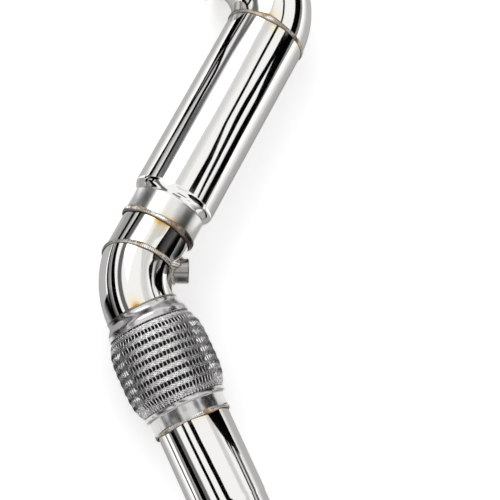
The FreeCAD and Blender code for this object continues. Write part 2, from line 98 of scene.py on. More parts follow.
def piece(name, points, faces, material, replaces, sharp_angle=35, values=None):
    """One mesh in the part's frame from points in millimetres, with its material and its place in
    the frame. Values are numbers to a point, by attribute name."""
    mesh = bpy.data.meshes.new(name)
    faces = np.asarray(faces, np.int32)
    mesh.vertices.add(len(points))
    mesh.vertices.foreach_set("co", (np.asarray(points) * MM).astype(np.float32).ravel())
    mesh.loops.add(faces.size)
    mesh.loops.foreach_set("vertex_index", faces.ravel())
    mesh.polygons.add(len(faces))
    starts = np.arange(0, faces.size, faces.shape[1], dtype=np.int32)
    mesh.polygons.foreach_set("loop_start", starts)
    mesh.update(calc_edges=True)
    mesh.validate()
    for label, numbers in (values or {}).items():
        layer = mesh.attributes.new(label, "FLOAT", "POINT")
        layer.data.foreach_set("value", np.asarray(numbers, np.float32).ravel())
    mesh.shade_smooth()
    mesh.set_sharp_from_angle(angle=math.radians(sharp_angle))
    mesh.materials.append(material)
    obj = bpy.data.objects.new(name, mesh)
    bpy.context.scene.collection.objects.link(obj)
    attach(obj, "root")
    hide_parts(replaces)
    return obj


def spun(name, place, outline, material, replaces, values=None):
    """A turned piece: its closed outline of (radius, distance) goes once round the run. Values are
    attributes by name, each a function of the points."""
    outline = np.array(outline, float)
    points = rings(along(place, outline[:, 1]), outline[:, 0])
    faces = quads(len(outline), TURNS, True, True)
    numbers = {label: value(points) for label, value in (values or {}).items()}
    return piece(name, points.reshape(-1, 3), faces, material, replaces, values=numbers)


def colour(code):
    """An sRGB hex code as linear red, green, blue and alpha."""
    parts = [int(code[i:i + 2], 16) / 255 for i in (1, 3, 5)]
    return [c / 12.92 if c <= 0.04045 else ((c + 0.055) / 1.055) ** 2.4 for c in parts] + [1.0]


def add(material, kind, links=(), numbered=(), **settings):
    """Add one shader node. Settings go by socket or property name, numbered values are (input,
    value), and links are (input, other node, output), where an input is a name or a number."""
    node = material.node_tree.nodes.new("ShaderNode" + kind)

    def socket_of(key):
        if isinstance(key, int):
            return node.inputs[key]
        wanted = key.replace("_", " ")
        return next((s for s in node.inputs if s.name.lower() == wanted and s.enabled), None)

    for key, value in settings.items():
        socket = socket_of(key)
        if socket is not None:
            socket.default_value = value
        else:
            setattr(node, key, value)
    for key, value in numbered:
        node.inputs[key].default_value = value
    for key, other, output in links:
        material.node_tree.links.new(other.outputs[output], socket_of(key))
    return node


def ramp(node, *stops):
    """Set a colour ramp's stops as (position, hex code)."""
    band = node.color_ramp
    band.elements[0].color = colour(stops[0][1])
    band.elements[-1].position = stops[-1][0]
    band.elements[-1].color = colour(stops[-1][1])
    band.elements[0].position = stops[0][0]
    for position, code in stops[1:-1]:
        band.elements.new(position).color = colour(code)
    return node


def new_material(name):
    """An empty procedural material."""
    material = bpy.data.materials.new(name)
    material.use_nodes = True
    material.node_tree.nodes.clear()
    return material


def surface(material, shader):
    """Link a shader to the material's output."""
    add(material, "OutputMaterial", [("surface", shader, "BSDF")])
    return material


def turned_steel(name, code):
    """Turned stainless bar: a clear grey whose gloss varies with the tool marks. The real marks are
    too fine to show, so they are noise of 2.4 mm with marks of 0.3 mm in it."""
    m = new_material(name)
    place = add(m, "TexCoord")
    marks = add(m, "TexNoise", [("vector", place, "Object")], scale=420.0, detail=3.0)
    gloss = add(m, "MapRange", [("value", marks, "Fac")], to_min=0.14, to_max=0.3)
    dents = add(m, "Bump", [("height", marks, "Fac")], strength=0.12, distance=0.0002)
    shader = add(m, "BsdfPrincipled",
                 [("roughness", gloss, "Result"), ("normal", dents, "Normal")],
                 base_color=colour(code), metallic=1.0)
    return surface(m, shader)


TURNED = turned_steel("turned_stainless", "#d2d0cd")
inlet_face = station(*INLET_FACE)
slope_end = FLANGE_RIM + FLANGE_SLOPE
flange_outline = [
    (CANISTER_BORE, 0), (HUB_RADIUS - 0.2, 0), (HUB_RADIUS, SEAT_DEPTH), (SEAT_RADIUS, SEAT_DEPTH),
    (SEAT_RADIUS + 0.2, 0), (FLANGE_RADIUS - 0.5, 0), (FLANGE_RADIUS, 0.5),
    (FLANGE_RADIUS, FLANGE_RIM - 0.4), (FLANGE_RADIUS - 0.4, FLANGE_RIM),
    (HUB_RADIUS + 0.8, slope_end), (HUB_RADIUS, slope_end + 0.9),
    (HUB_RADIUS, FLANGE_LENGTH), (CANISTER_BORE, FLANGE_LENGTH),
]
spun("inlet_flange_turned", inlet_face, flange_outline, TURNED, "inlet_flange")

# Inlet flange weld: one pass of filler round the hub's end, laid by hand. The cooled bead shows
# the ripples of the pool, a little straw and brown from the heat, and a bright crest.
CANISTER_RADIUS = 44.45
HUB_STEP_FILL = 0.9
RIPPLE_PITCH = 1.9
RIPPLE_TRAIL = 0.35
RIPPLE_UNEVEN = 0.4
RIPPLE_SHARE = 0.3
# The next two darken the weld's colour in the ripples' hollows and at the bead's edges: painted
# shade.
RIPPLE_SHADE = 0.7
EDGE_SHADE = 1.2
BEAD_WANDER = 0.25
BEAD_ROOT = 0.8


def weld_steel():
    """Weld metal, as laid: bright, with straw and rose in patches of about 14 mm, painted shade
    (near black) in the hollows of the ripples and at the bead's edges, and dark brown scale where
    the burn attribute says the pass was too hot. Its grain is about 1 mm."""
    m = new_material("weld_metal_as_laid")
    place = add(m, "TexCoord")
    patches = add(m, "TexNoise", [("vector", place, "Object")], scale=70.0, detail=2.0)
    grain = add(m, "TexNoise", [("vector", place, "Object")], scale=900.0, detail=3.0)
    tint = ramp(add(m, "ValToRGB", [("fac", patches, "Fac")]),
                (0.42, "#fdfbf8"), (0.56, "#f1e6d8"), (0.68, "#cba78a"), (0.8, "#8f8078"))
    # This attribute mixes the tint towards near black #1d1612: painted shade in the ripples'
    # hollows, at the bead's edges and on its root.
    painted_shade = add(m, "Attribute", attribute_name="painted_shade")
    shaded_tint = add(m, "MixRGB", [("fac", painted_shade, "Fac"), ("color1", tint, "Color")],
                color2=colour("#1d1612"))
    burn = add(m, "Attribute", attribute_name="burn")
    scale = ramp(add(m, "ValToRGB", [("fac", grain, "Fac")]),
                 (0.35, "#1e1712"), (0.7, "#5c4a3c"))
    burnt = add(m, "MixRGB",
                [("fac", burn, "Fac"), ("color1", shaded_tint, "Color"), ("color2", scale, "Color")])
    gloss = add(m, "MapRange", [("value", grain, "Fac")], to_min=0.14, to_max=0.36)
    dents = add(m, "Bump", [("height", grain, "Fac")], strength=0.35, distance=0.0003)
    shader = add(m, "BsdfPrincipled",
                 [("base_color", burnt, "Color"), ("roughness", gloss, "Result"),
                  ("normal", dents, "Normal")], metallic=1.0)
    return surface(m, shader)


WELD = weld_steel()


def unevenness(u, seed, waves=9):
    """A smooth random number from -1 to 1 round a closed seam: a sum of whole waves, the longest
    strongest."""
    draw = np.random.default_rng(seed)
    k = np.arange(2, 2 + waves)
    phase = draw.uniform(0, 2 * np.pi, waves)
    return (np.cos(k * u[..., None] + phase) / np.sqrt(k)).sum(-1) / 2


def nearness(u, side, spread):
    """1 at an angle round a seam, in degrees, falling off as a bell on either side of it."""
    away = (u - math.radians(side) + np.pi) % (2 * np.pi) - np.pi
    return np.exp(-(away / math.radians(spread)) ** 2)


def bead(name, seam, replaces, width, crown, seed, upset=0.25, lump=(0, 0, 10), burnt=(0, 0, 10)):
    """A weld bead: a low arch across a closed seam. It rises by crown along the outward direction
    and spans width along the run, and its crest steps down behind each crescent ripple of the
    pool. A lump swells it and burnt scales it, each as (side in degrees, share, spread)."""
    path, out, down = seam
    count = len(path)
    across = np.linspace(-1, 1, 9)
    length = np.linalg.norm(np.roll(path, -1, 0) - path, axis=1).sum()
    ripples = round(length / RIPPLE_PITCH)
    u = np.linspace(0, 2 * np.pi, count, endpoint=False)[:, None]
    wander = unevenness(u[:, 0], seed)[:, None]
    swell = 1 + upset * unevenness(u[:, 0], seed + 1)[:, None]
    swell = swell + lump[1] * nearness(u, lump[0], lump[2])
    trail = RIPPLE_TRAIL * across ** 2 + RIPPLE_UNEVEN * wander
    phase = (u / (2 * np.pi) * ripples + trail) % 1
    step = (1 - phase) ** 1.5
    height = crown * swell * (1 - across ** 4) * (1 - RIPPLE_SHARE + RIPPLE_SHARE * step)
    place = across * width / 2 * swell + BEAD_WANDER * wander
    arch = path[:, None] + height[..., None] * out[:, None] + place[..., None] * down[:, None]
    under = path - out * BEAD_ROOT
    points = np.concatenate([arch, under[:, None]], 1)
    # Painted shade: the colour darkens in each ripple's hollow, towards the bead's edges, and fully
    # on the hidden root row.
    shade_depth = np.clip((1 - step) ** 4 * RIPPLE_SHADE + EDGE_SHADE * across ** 4, 0, 1)
    painted_shade = np.concatenate([shade_depth, np.ones((count, 1))], 1)
    burn = np.broadcast_to(burnt[1] * nearness(u, burnt[0], burnt[2]), painted_shade.shape)
    faces = quads(count, points.shape[1], True, True)
    return piece(name, points.reshape(-1, 3), faces, WELD, replaces, 60,
                 {"painted_shade": painted_shade, "burn": burn})


def round_seam(place, radius, count=720):
    """A seam square to the run: points, outward directions and the run's own direction."""
    circle = rings(place[None], [radius], count)[0]
    out = (circle - place[:3, 3]) / radius
    return circle, out, np.broadcast_to(place[:3, 2], circle.shape)


inlet_bend = along(inlet_face, FLANGE_LENGTH)
bead("inlet_flange_weld_bead", round_seam(along(inlet_bend, 0.6), CANISTER_RADIUS + HUB_STEP_FILL),
     "inlet_flange_weld", width=4.5, crown=1.3, seed=11)

# Inlet elbow: a tight mandrel bend of the canister's tube, mirror polished. Near its weld the heat
# has left straw and pale blue bands in the polish.
INLET_BEND_RADIUS = 66.0
INLET_BEND = math.radians(90)
FAINT_HEAT = 0.12


def around(place, radius, angle):
    """Frames at one angle or many, in radians, round a bend to X: x = R (1 - cos), z = R sin."""
    angle = np.asarray(angle, float)
    turn = np.zeros(angle.shape + (4, 4))
    turn[..., 0, 0] = turn[..., 2, 2] = np.cos(angle)
    turn[..., 0, 2] = np.sin(angle)
    turn[..., 2, 0] = -np.sin(angle)
    turn[..., 1, 1] = turn[..., 3, 3] = 1
    turn[..., 0, 3] = radius * (1 - np.cos(angle))
    turn[..., 2, 3] = radius * np.sin(angle)
    return place @ turn


def half_turned(place):
    """The same station with its X axis on the other side of the run."""
    return place @ np.diag([-1.0, -1.0, 1.0, 1.0])


def polished_steel():
    """Mirror-polished stainless tube: sharp reflections, bent a little by the waviness of drawing
    and bending (about 40 mm), with wheel marks (0.7 mm, coarser than real ones) and haze (17 mm).
    The temper attribute gives heat colours, and satin the mark of the spinning tool."""
    m = new_material("mirror_polished_stainless")
    place = add(m, "TexCoord")
    waves = add(m, "TexNoise", [("vector", place, "Object")], scale=24.0, detail=1.0)
    wheel = add(m, "TexNoise", [("vector", place, "Object")], scale=1500.0, detail=2.0)
    haze = add(m, "TexNoise", [("vector", place, "Object")], scale=60.0, detail=4.0)
    warmth = add(m, "Attribute", attribute_name="temper")
    satin = add(m, "Attribute", attribute_name="satin")
    tint = ramp(add(m, "ValToRGB", [("fac", warmth, "Fac")]),
                (0.0, "#f3f2f0"), (0.22, "#f2e8d2"), (0.45, "#ecbd6c"), (0.68, "#a86c34"),
                (0.84, "#75616a"), (1.0, "#8fa3b8"))
    clear = add(m, "MapRange", [("value", haze, "Fac")], to_min=0.035, to_max=0.075)
    worn = add(m, "Math", [(0, satin, "Fac")], [(1, 0.26)], operation="MULTIPLY")
    gloss = add(m, "Math", [(0, clear, "Result"), (1, worn, "Value")], operation="MAXIMUM")
    ripple = add(m, "Bump", [("height", waves, "Fac")], strength=0.3, distance=0.0006)
    marks = add(m, "Bump", [("height", wheel, "Fac"), ("normal", ripple, "Normal")],
                strength=0.04, distance=0.00005)
    shader = add(m, "BsdfPrincipled",
                 [("base_color", tint, "Color"), ("roughness", gloss, "Value"),
                  ("normal", marks, "Normal")], metallic=1.0)
    return surface(m, shader)


POLISHED = polished_steel()


def warmed(*seams):
    """Heat from 0 to 1 on points near weld seams: it falls off with distance from each seam's
    plane, and is strong at one side of the tube and faint elsewhere. A seam has a place, a reach
    in mm, a share, a side and a spread in degrees, and a seed."""
    def heat(points):
        total = np.zeros(points.shape[:-1])
        for seam in seams:
            local = (points - seam["place"][:3, 3]) @ seam["place"][:3, :3]
            u = np.arctan2(local[..., 1], local[..., 0])
            near = np.exp(-np.abs(local[..., 2]) / seam["reach"])
            patch = (FAINT_HEAT + nearness(u, seam["side"], seam["spread"])
                     + FAINT_HEAT * unevenness(u, seam["seed"], waves=7))
            total = np.maximum(total, seam["share"] * near * np.clip(patch, 0, 1.2))
        return np.clip(total, 0, 1)
    return heat


def bent_tube(name, outer, inner, heat, replaces):
    """A polished tube from two grids of points: down its outer wall and back up its bore."""
    points = np.concatenate([outer, inner[::-1]])
    return piece(name, points.reshape(-1, 3), quads(len(points), TURNS, True, True, True),
                 POLISHED, replaces, values={"temper": heat(points)})


canister_top = half_turned(around(inlet_bend, INLET_BEND_RADIUS, INLET_BEND))
inlet_frames = around(inlet_bend, INLET_BEND_RADIUS, np.linspace(0, INLET_BEND, 80))
inlet_heat = warmed(dict(place=canister_top, reach=6, share=0.66, side=95, spread=13, seed=3),
                    dict(place=inlet_bend, reach=6, share=0.6, side=180, spread=60, seed=4))
bent_tube("inlet_elbow_bent", rings(inlet_frames, CANISTER_RADIUS),
          rings(inlet_frames, CANISTER_BORE), inlet_heat, "inlet_elbow")

# Inlet elbow weld: one pass of filler that butts the elbow to the canister. It was laid all round
# on the finished polish and is scaled brown on one side.
bead("inlet_elbow_weld_bead", round_seam(canister_top, CANISTER_RADIUS), "inlet_elbow_weld",
     width=5.8, crown=1.3, seed=21, burnt=(78, 0.45, 20))

# Canister shell: one drawn and spun stainless tube, mirror polished. A rounded shoulder leads to a
# neck that is the socket of the next tube; the neck keeps the satin mark of the spinning tool.
CANISTER_LENGTH = 216
SHOULDER_LENGTH = 12
NECK_LENGTH = 25
SHELL_WALL = 1.6
PIPE_RADIUS = 38.1
SOCKET_RADIUS = PIPE_RADIUS + 0.1
NECK_RADIUS = SOCKET_RADIUS + 1.5
SATIN_START = CANISTER_LENGTH + 8
SATIN_FADE = 4


def shoulder(big, small, length, crest, steps=14):
    """Half outline of a spun shoulder: a convex quarter off the big tube that fades into a concave
    foot."""
    t = np.linspace(0, 1, steps)
    fall = 1 - np.sqrt(np.clip(1 - t ** 2, 0, 1))
    mix = t ** 3
    radius = big - (big - small) * ((1 - mix) * fall + mix * (1 - (1 - t) ** 2))
    return np.stack([radius, crest + length * t], 1)


def straight(radius, start, stop, steps):
    """Half outline of a straight length of tube: one radius at evenly spaced distances."""
    return np.stack([np.full(steps, radius), np.linspace(start, stop, steps)], 1)


def spinning_marks(points):
    """The satin of the spinning tool: none on the canister, full from the shoulder's foot on."""
    down = (points - canister_top[:3, 3]) @ canister_top[:3, 2]
    return np.clip((down - SATIN_START) / SATIN_FADE, 0, 1)


shell_end = CANISTER_LENGTH + SHOULDER_LENGTH
outer = np.concatenate([
    straight(CANISTER_RADIUS, 0, CANISTER_LENGTH - 0.5, steps=60),
    shoulder(CANISTER_RADIUS, NECK_RADIUS, SHOULDER_LENGTH, CANISTER_LENGTH),
    straight(NECK_RADIUS, shell_end + 1, shell_end + NECK_LENGTH, steps=6),
])
inner = outer[::-1] - [SHELL_WALL, 0]
in_neck = inner[:, 1] > CANISTER_LENGTH
inner[:, 0] = np.where(in_neck, np.maximum(inner[:, 0], SOCKET_RADIUS), inner[:, 0])
neck_end = along(canister_top, shell_end + NECK_LENGTH)
canister_heat = warmed(dict(place=canister_top, reach=6, share=0.6, side=84, spread=13, seed=5),
                       dict(place=neck_end, reach=4, share=0.45, side=70, spread=40, seed=6))
spun("canister_shell_spun", canister_top, np.concatenate([outer, inner])[::-1], POLISHED,
     "canister_shell", values={"temper": canister_heat, "satin": spinning_marks})

# Catalyst: a mantle of thin sheet round a brazed block of flat and waved foil. Its face has the
# dull brown-grey of the coating. Both stay the plain CAD forms, deep inside the canister.


def coated_foil():
    """Wash-coated foil: matt, rough, warm grey, with a mottle of 1.4 mm from the dried coating."""
    m = new_material("wash_coated_foil")
    place = add(m, "TexCoord")
    mottle = add(m, "TexNoise", [("vector", place, "Object")], scale=700.0, detail=4.0)
    tint = ramp(add(m, "ValToRGB", [("fac", mottle, "Fac")]),
                (0.3, "#6d655c"), (0.7, "#8c8378"))
    dents = add(m, "Bump", [("height", mottle, "Fac")], strength=0.4, distance=0.0003)
    shader = add(m, "BsdfPrincipled",
                 [("base_color", tint, "Color"), ("normal", dents, "Normal")],
                 roughness=0.75, metallic=0.35)
    return surface(m, shader)


def dress(name, material):
    """Give a CAD node that keeps its own shape a material."""
    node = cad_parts[name]
    node.data.materials.clear()
    node.data.materials.append(material)


FOIL = coated_foil()
dress("catalyst_mantle", FOIL)
dress("catalyst_core", FOIL)

# Neck weld: a fillet that closes the step from the neck's end to the stub. This pass was hotter,
# and on one side it is heavier and dark brown.
FILLET_RISE = 0.8
bead("neck_weld_bead", round_seam(along(neck_end, 0.4), PIPE_RADIUS + FILLET_RISE), "neck_weld",
     width=6.6, crown=1.9, seed=31, lump=(25, 0.35, 45), burnt=(30, 0.95, 38))

# Stub: a short straight end of the elbow's polished tube, pushed into the neck. It is sawn on the
# leaning plane of the mitred joint.
PIPE_BORE = 36.5
SOCKET_DEPTH = 12
STUB_LENGTH = 43
JOINT_TURN = math.radians(12.7)
JOINT_LEAN = math.radians(12)


def rotation(axis, angle):
    """A 4 by 4 turn about one of the axes."""
    return np.array(mathutils.Matrix.Rotation(angle, 4, axis))


joint = along(neck_end, STUB_LENGTH)
joint_plane = joint @ rotation("Y", JOINT_TURN / 2) @ rotation("X", -JOINT_LEAN)
joint_normal = joint_plane[:3, 2]
u_turn = np.linspace(0, 2 * np.pi, TURNS, endpoint=False)


def above_joint(points):
    """How far points lie past the joint's plane."""
    return (points - joint[:3, 3]) @ joint_normal


def halved(past, low, high, lines, rounds=30):
    """Where each of many lines crosses a surface between low and high: past(parameter) is true
    beyond it, and each round halves the span."""
    low = np.full(lines, float(low))
    high = np.full(lines, float(high))
    for _ in range(rounds):
        middle = (low + high) / 2
        beyond = past(middle)
        high = np.where(beyond, middle, high)
        low = np.where(beyond, low, middle)
    return (low + high) / 2


def meet_joint(wall, low, high):
    """Where each line down a wall crosses the joint's plane."""
    return halved(lambda span: above_joint(wall(span)) > 0, low, high, TURNS)


def one_each(frames, radius):
    """Points on a tube, one to a frame, each at its own turn round it."""
    reach = (np.cos(u_turn)[:, None] * frames[..., :3, 0]
             + np.sin(u_turn)[:, None] * frames[..., :3, 1])
    return frames[..., :3, 3] + radius * reach


def on_stub(radius):
    """The stub's wall as a function of the length along each of its lines."""
    return lambda length: one_each(along(joint, length), radius)


def wall_grid(wall, start, stop, steps):
    """Rows of points from one end of each line down a wall to the other."""
    share = np.linspace(0, 1, steps)[:, None]
    return np.stack([wall(row) for row in start + (stop - start) * share])


stub_start = np.full(TURNS, -float(STUB_LENGTH + SOCKET_DEPTH))
stub_outer, stub_inner = [wall_grid(wall, stub_start, meet_joint(wall, -20, 20), steps=40)
                          for wall in (on_stub(PIPE_RADIUS), on_stub(PIPE_BORE))]
stub_heat = warmed(dict(place=neck_end, reach=7, share=0.85, side=88, spread=22, seed=7),
                   dict(place=joint_plane, reach=5, share=0.35, side=20, spread=60, seed=8))
stub = bent_tube("bend_stub_trimmed", stub_outer, stub_inner, stub_heat, "bend_stub")

# Elbow: stainless tube bent over a mandrel on a radius equal to its diameter and mirror polished.
# It is sawn on the same leaning plane as the stub and butted to it.
BEND_RADIUS = 76.2
BEND = math.radians(39.4)
bend_start = joint @ rotation("Y", JOINT_TURN)


def on_elbow(radius):
    """The elbow's wall as a function of the angle along each of its lines."""
    return lambda angle: one_each(around(bend_start, BEND_RADIUS, angle), radius)


elbow_end = np.full(TURNS, BEND)
elbow_outer, elbow_inner = [wall_grid(wall, meet_joint(wall, -0.4, 0.4), elbow_end, steps=60)
                            for wall in (on_elbow(PIPE_RADIUS), on_elbow(PIPE_BORE))]
flex_start = around(bend_start, BEND_RADIUS, BEND)
elbow_heat = warmed(dict(place=joint_plane, reach=5, share=0.35, side=20, spread=60, seed=8),
                    dict(place=flex_start, reach=6, share=0.68, side=106, spread=9, seed=9))
elbow = bent_tube("bend_elbow_bent", elbow_outer, elbow_inner, elbow_heat, "bend_elbow")

# Mitred joint weld: one pass of filler over the two sawn ends. It follows the leaning oval of the
# cut and runs up to the sensor boss.
oval_turns = np.linspace(0, 2 * np.pi, 720, endpoint=False)
rim = np.concatenate([stub_outer[-1], stub_outer[-1, :1]])
rim_turns = np.append(u_turn, 2 * np.pi)
oval = np.stack([np.interp(oval_turns, rim_turns, rim[:, axis]) for axis in range(3)], 1)
oval_local = oval - joint[:3, 3]
oval_out = oval_local - (oval_local @ joint[:3, 2])[:, None] * joint[:3, 2]
oval_out = oval_out / np.linalg.norm(oval_out, axis=1)[:, None]
oval_down = np.broadcast_to(joint_normal, oval.shape)
bead("mitre_weld_bead", (oval, oval_out, oval_down), "mitre_weld", width=6.2, crown=1.5, seed=41,
     upset=0.15)

# Sensor boss: a machined stainless collar with a threaded hole, set on the inside of the bend. Its
# mouth has a small chamfer, and the hole is drilled on through the stub and the elbow.
BOSS_RADIUS = 13
THREAD_RADIUS = 9
BOSS_HEIGHT = 15.5
BOSS_STATION = math.radians(6)
BOSS_LEAN = math.radians(8)
BOSS_RISE = math.radians(6)
BOSS_MOUTH = PIPE_RADIUS + BOSS_HEIGHT
BOSS_FOOT = PIPE_RADIUS - 3
DRILL_PLAY = 0.4
DRILL_REACH = 6
DRILL_SIDES = 64

boss_centre = around(bend_start, BEND_RADIUS, BOSS_STATION)
boss_axis = boss_centre @ rotation("Z", BOSS_RISE) @ rotation("Y", math.pi / 2 + BOSS_LEAN)
boss_outline = [
    (THREAD_RADIUS, BOSS_FOOT), (THREAD_RADIUS, BOSS_MOUTH - 1.0), (THREAD_RADIUS + 1, BOSS_MOUTH),
    (BOSS_RADIUS - 0.9, BOSS_MOUTH), (BOSS_RADIUS, BOSS_MOUTH - 0.9), (BOSS_RADIUS, BOSS_FOOT),
]
# The boss's steel is a darker copy of the turned steel, #989694 against #d2d0cd: its grey is
# painted shade and dark reflection.
spun("sensor_bung_machined", boss_axis, boss_outline,
     turned_steel("boss_stainless_darkened_as_shade", "#989694"), "sensor_bung")


def drilled(obj, place, radius, low, high):
    """A round hole along a place's Z: the piece's mesh less a cylinder from low to high."""
    drill = bpy.data.meshes.new("drill")
    points = rings(along(place, np.array([low, high])), radius, DRILL_SIDES).reshape(-1, 3) * MM
    sides = quads(2, DRILL_SIDES, False, True, True).tolist()
    caps = [list(range(DRILL_SIDES))[::-1], list(range(DRILL_SIDES, 2 * DRILL_SIDES))]
    drill.from_pydata(points.tolist(), [], sides + caps)
    tool = bpy.data.objects.new("drill", drill)
    bpy.context.scene.collection.objects.link(tool)
    hole = obj.modifiers.new("hole", "BOOLEAN")
    hole.operation = "DIFFERENCE"
    hole.solver = "EXACT"
    hole.object = tool
    bpy.context.view_layer.update()
    depsgraph = bpy.context.evaluated_depsgraph_get()
    mesh = bpy.data.meshes.new_from_object(obj.evaluated_get(depsgraph),
                                           preserve_all_data_layers=True, depsgraph=depsgraph)
    obj.modifiers.clear()
    whole = obj.data
    obj.data = mesh
    bpy.data.meshes.remove(whole)
    bpy.data.objects.remove(tool)
    bpy.data.meshes.remove(drill)
    mesh.set_sharp_from_angle(angle=math.radians(35))


for tube in (stub, elbow):
    drilled(tube, boss_axis, THREAD_RADIUS + DRILL_PLAY, BOSS_FOOT - DRILL_REACH, BOSS_MOUTH)

# Sensor boss weld: a heavy fillet of filler laid all round the boss's foot, with a glossy knob
# where the pass was stopped beside the mitred joint.
FOOT_LINES = 360
around_boss = rings(along(boss_axis, np.array([0.0])), [BOSS_RADIUS], FOOT_LINES)[0]


def tube_distance(points):
    """How far points lie outside the tube of the stub and the elbow, whichever they belong to."""
    straight_local = (points - joint[:3, 3]) @ joint[:3, :3]
    beside = np.hypot(straight_local[..., 0], straight_local[..., 1])
    bent_local = (points - bend_start[:3, 3]) @ bend_start[:3, :3]
    ring = np.hypot(bent_local[..., 0] - BEND_RADIUS, bent_local[..., 2])
    curved = np.hypot(ring - BEND_RADIUS, bent_local[..., 1])
    return np.where(above_joint(points) > 0, curved, beside) - PIPE_RADIUS


def up_boss(height):
    """Points up the boss's side, one to each line."""
    return around_boss + height[:, None] * boss_axis[:3, 2]


def unit(rows):
    """Each row as a direction of length 1."""
    return rows / np.linalg.norm(rows, axis=1)[:, None]


foot = up_boss(halved(lambda height: tube_distance(up_boss(height)) > 0, 20, 60, FOOT_LINES))
foot_out = (around_boss - boss_axis[:3, 3]) / BOSS_RADIUS
fillet = (foot, unit(foot_out + boss_axis[:3, 2]), unit(foot_out - boss_axis[:3, 2]))
bead("sensor_bung_weld_bead", fillet, "sensor_bung_weld", width=6.0, crown=2.2, seed=51, upset=0.3,
     lump=(84, 1.8, 20))

# Flex upper weld: a narrow fused pass, with hardly any filler, between the elbow's end and the
# collar's nose. It is a little burnt on one side.
bead("flex_upper_weld_bead", round_seam(flex_start, PIPE_RADIUS), "flex_upper_weld",
     width=2.0, crown=0.35, seed=61, burnt=(110, 0.7, 70))

# Upper collar: spun stainless sheet, flared from the pipe to the braid and welded to the elbow. It
# is satin from the spinning and holds the braid's upper end.
COLLAR_RADIUS = 43.5
COLLAR_BORE = 42.0
COLLAR_NOSE = 5
COLLAR_FLARE = 9.5
UPPER_COLLAR = 18.6


def satin_steel():
    """Spun stainless sheet: satin, with soft dents of the roller about 15 mm apart and fine marks,
    drawn 0.9 mm coarse so that they show."""
    m = new_material("satin_spun_stainless")
    place = add(m, "TexCoord")
    dents = add(m, "TexNoise", [("vector", place, "Object")], scale=65.0, detail=1.0)
    grain = add(m, "TexNoise", [("vector", place, "Object")], scale=1100.0, detail=3.0)
    gloss = add(m, "MapRange", [("value", dents, "Fac")], to_min=0.15, to_max=0.26)
    soft = add(m, "Bump", [("height", dents, "Fac")], strength=0.5, distance=0.0009)
    marks = add(m, "Bump", [("height", grain, "Fac"), ("normal", soft, "Normal")],
                strength=0.12, distance=0.0001)
    shader = add(m, "BsdfPrincipled",
                 [("roughness", gloss, "Result"), ("normal", marks, "Normal")],
                 base_color=colour("#d6d5d4"), metallic=1.0)
    return surface(m, shader)


def eased(a, b, steps):
    """An S-shaped half outline between two (radius, distance) ends: 3t2 - 2t3 in radius."""
    t = np.linspace(0, 1, steps)
    return np.stack([a[0] + (b[0] - a[0]) * (3 * t ** 2 - 2 * t ** 3), a[1] + (b[1] - a[1]) * t], 1)


SATIN = satin_steel()
flare_end = COLLAR_NOSE + COLLAR_FLARE
upper_outer = np.concatenate([
    [(PIPE_RADIUS, 0), (PIPE_RADIUS, 2)],
    eased((PIPE_RADIUS, 3), (COLLAR_RADIUS, flare_end), 14),
    [(COLLAR_RADIUS, UPPER_COLLAR - 0.4), (COLLAR_RADIUS - 0.4, UPPER_COLLAR)],
])
upper_inner = np.concatenate([
    [(COLLAR_BORE, UPPER_COLLAR), (COLLAR_BORE, flare_end)],
    eased((COLLAR_BORE, flare_end - 0.5), (PIPE_BORE, 3), 14)[1:],
    [(PIPE_BORE, 0)],
])
spun("flex_upper_collar_spun", flex_start, np.concatenate([upper_outer, upper_inner])[::-1], SATIN,
     "flex_upper_collar")

# Bellows and liner: thin waved sheet with a liner of interlocked strip inside it. They are dull and
# show only through the braid and from the pipe's mouth, so they keep their CAD forms. Their dark
# grey is painted shade: it stands in for the shade inside the braid.


def shade_dark_sheet():
    """Stainless sheet painted dull dark grey as the shade inside the braid, with a soft mottle of 4
    mm.
    """
    m = new_material("sheet_dark_as_painted_shade")
    place = add(m, "TexCoord")
    mottle = add(m, "TexNoise", [("vector", place, "Object")], scale=250.0, detail=3.0)
    tint = ramp(add(m, "ValToRGB", [("fac", mottle, "Fac")]),
                (0.3, "#262524"), (0.7, "#3a3836"))
    shader = add(m, "BsdfPrincipled", [("base_color", tint, "Color")],
                 roughness=0.5, metallic=1.0)
    return surface(m, shader)


SHADE_DARK_SHEET = shade_dark_sheet()
# The bellows and the liner get the near-black sheet: painted shade seen through the braid's gaps.
dress("flex_bellows", SHADE_DARK_SHEET)
dress("flex_liner", SHADE_DARK_SHEET)

# Braid: a sleeve knitted from bright stainless wire. Each course is a row of loops whose heads hook
# over the feet of the next: the hooked rows stand out as bright bands, and between them the loops'
# legs cross open gaps. Fine rows of small waves lie on the bands and make them dense.
BRAID_LENGTH = 85
BRAID_TUCK = 3
BRAID_BANDS = 9
BRAID_CROWN = 50.5
BRAID_FULLNESS = 4
BAND_HEIGHT = 0.3
WIRE_RADIUS = 0.26
FINE_WIRE_RADIUS = 0.34
STRAND_SPACING = 0.54
LEG_RISE = 0.2
END_CLEARANCE = 0.4
LOOPS = 39
LOOP_REACH = 0.6
FINE_ROW_PITCH = 0.103
FINE_ROW_SHIFT = 0.05
FINE_ROW_HEIGHT = 0.36
END_ROW_HEIGHT = 0.3
END_ROWS = (2.2, BRAID_LENGTH - 1.6)
braid_start = along(flex_start, UPPER_COLLAR)
braid_foot = COLLAR_BORE - 0.1


def braid_radius(z):
    """The sleeve's outer radius: full over its middle, falling as the fourth power to its ends,
    with one low cosine ridge to each band."""
    body = BRAID_CROWN - BAND_HEIGHT - braid_foot
    fall = 1 - np.abs(2 * np.clip(z, 0, BRAID_LENGTH) / BRAID_LENGTH - 1) ** BRAID_FULLNESS
    ridge = 0.5 - 0.5 * np.cos(2 * np.pi * z / BRAID_LENGTH * BRAID_BANDS)
    return braid_foot + body * fall + BAND_HEIGHT * ridge ** 2 * (fall > 0)


